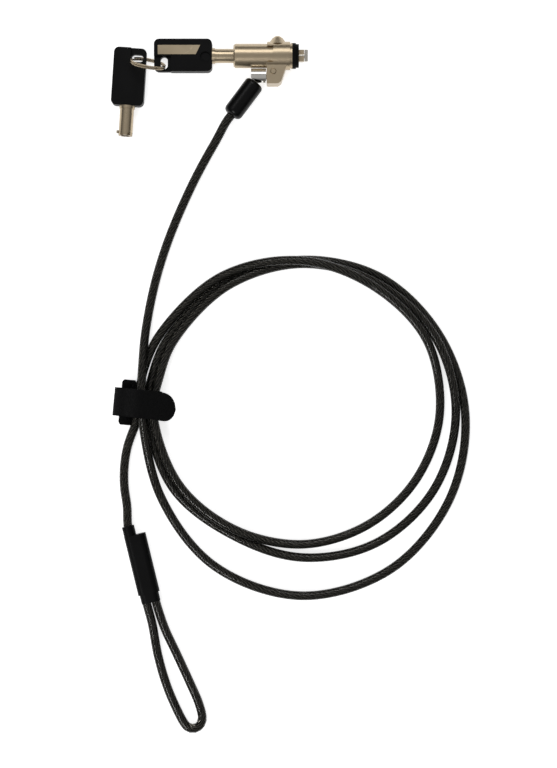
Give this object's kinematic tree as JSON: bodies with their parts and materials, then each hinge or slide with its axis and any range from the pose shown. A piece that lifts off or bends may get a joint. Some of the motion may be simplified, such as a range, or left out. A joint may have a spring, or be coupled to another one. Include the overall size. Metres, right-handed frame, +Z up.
{
  "type": "laptop cable lock",
  "caption": "Keyed T-bar lock with a swivelling collar, a coiled steel security cable, an eye at its far end, a strap and two tubular keys on a split ring.",
  "frame": {"origin": "on the floor, under the middle of the lock head and its two keys", "axes": "+X along the lock barrel towards its T-bar, +Y away from the coil, +Z up from the surface that it lies on"},
  "size_m": [0.1815, 0.3486, 0.0175],
  "materials": {
    "satin_nickel": "satin",
    "bright_nickel": "bright",
    "chrome": "polished",
    "steel": "plain",
    "brass": "plain",
    "rubber": "matte",
    "boot_plastic": "gloss",
    "cable_jacket": "gloss",
    "sleeve_plastic": "satin",
    "strap_fabric": "matte",
    "bow_plastic": "satin",
    "label": "matte"
  },
  "bodies": {
    "cable": {"cable_terminal": "steel", "cable_boot": "boot_plastic", "cable_lead": "cable_jacket", "cable_coil": "cable_jacket", "cable_tail": "cable_jacket", "cable_eye": "cable_jacket", "crimp_sleeve": "sleeve_plastic", "sleeve_neck": "sleeve_plastic", "sleeve_ring": "sleeve_plastic", "strap_band": "strap_fabric", "strap_head": "strap_fabric"},
    "link": {"swivel_link": "chrome", "link_pin": "steel"},
    "collar": {"collar": "satin_nickel", "collar_pin": "steel", "swivel_axle": "steel", "lug_rivet": "satin_nickel"},
    "barrel": {"lock_barrel": "satin_nickel", "nose_piece": "satin_nickel", "roll_pin": "steel", "spacer_sleeve": "brass", "rubber_washer": "rubber"},
    "core": {"lock_core": "brass", "pin_tumblers": "brass", "tumbler_springs": "steel", "t_bar": "bright_nickel"},
    "key_1": {"key_1_bow": "bow_plastic", "key_1_tube": "bright_nickel", "key_1_washer": "satin_nickel", "key_1_label": "label"},
    "ring": {"split_ring": "bright_nickel"},
    "key_2": {"key_2_bow": "bow_plastic", "key_2_tube": "bright_nickel", "key_2_washer": "satin_nickel", "key_2_label": "label"}
  },
  "joints": [
    {"name": "cable_swivel", "type": "hinge", "parent": "cable", "child": "link", "pos_m": [0.02431, 0.00321, 0.007], "axis": [0.6, 0.8, 0], "continuous": true},
    {"name": "link_swivel", "type": "hinge", "parent": "link", "child": "collar", "pos_m": [0.02846, 0.00491, 0.007], "axis": [1, 0, 0], "range_deg": [-90, 90]},
    {"name": "collar_swivel", "type": "hinge", "parent": "collar", "child": "barrel", "pos_m": [0.03605, 0.01481, 0.007], "axis": [1, 0, 0], "continuous": true},
    {"name": "key_turn", "type": "hinge", "parent": "barrel", "child": "core", "pos_m": [0.02235, 0.01481, 0.007], "axis": [1, 0, 0], "range_deg": [0, 90]},
    {"name": "key_pull", "type": "slide", "parent": "core", "child": "key_1", "axis": [1, 0, 0], "range_m": [-0.012, 0]},
    {"name": "ring_tilt", "type": "hinge", "parent": "key_1", "child": "ring", "pos_m": [-0.02219, 0.00971, 0.007], "axis": [-0.9785, 0.2063, 0], "range_deg": [-9, 9]},
    {"name": "key_2_swing", "type": "hinge", "parent": "ring", "child": "key_2", "pos_m": [-0.03666, 0.01404, 0.0039], "axis": [0, 0, 1], "range_deg": [-15, 15]}
  ]
}
